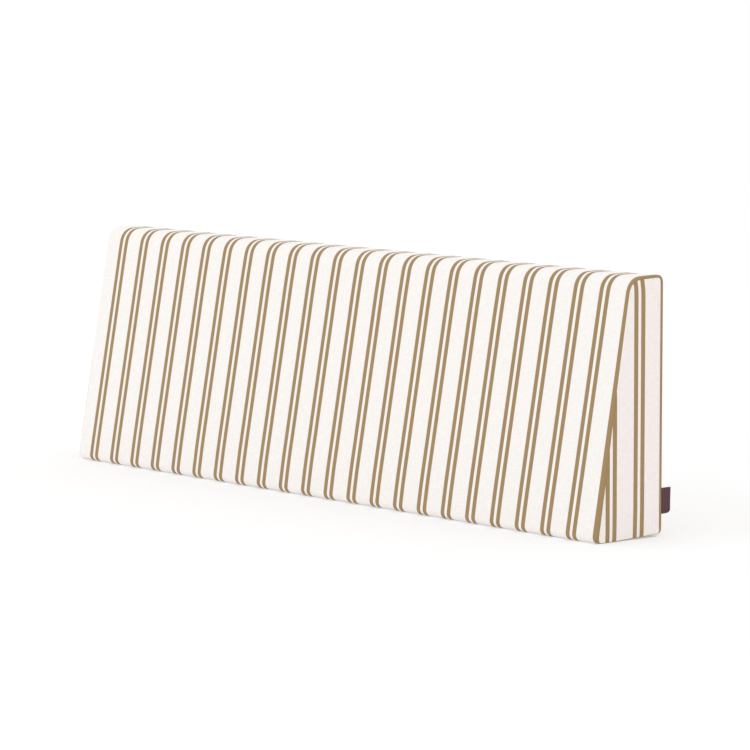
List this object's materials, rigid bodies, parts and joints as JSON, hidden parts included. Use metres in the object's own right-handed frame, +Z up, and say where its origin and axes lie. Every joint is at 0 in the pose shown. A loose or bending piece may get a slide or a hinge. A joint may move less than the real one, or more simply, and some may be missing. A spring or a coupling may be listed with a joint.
{
  "type": "wedge back cushion",
  "caption": "Long wedge-shaped back cushion: slanted front, narrow top, flat back, wide base, sewn end panels, striped cloth cover and a folded side tab.",
  "frame": {"origin": "on the surface that the cushion stands on, under the middle of its bounding box", "axes": "+X along the cushion towards its right end as seen from the front, +Y to the vertical back, +Z up"},
  "size_m": [1.003, 0.121, 0.307],
  "materials": {
    "cover": "plain-woven off-white cotton with pairs of narrow tan stripes",
    "end_cover": "plain-woven off-white cotton with pairs of narrow tan stripes",
    "tab": "dense woven ribbon, dark plum brown, matt"
  },
  "bodies": {
    "root": {"cushion_body": "cover", "end_panel_right": "end_cover", "end_panel_left": "end_cover", "side_tab": "tab"}
  },
  "joints": []
}
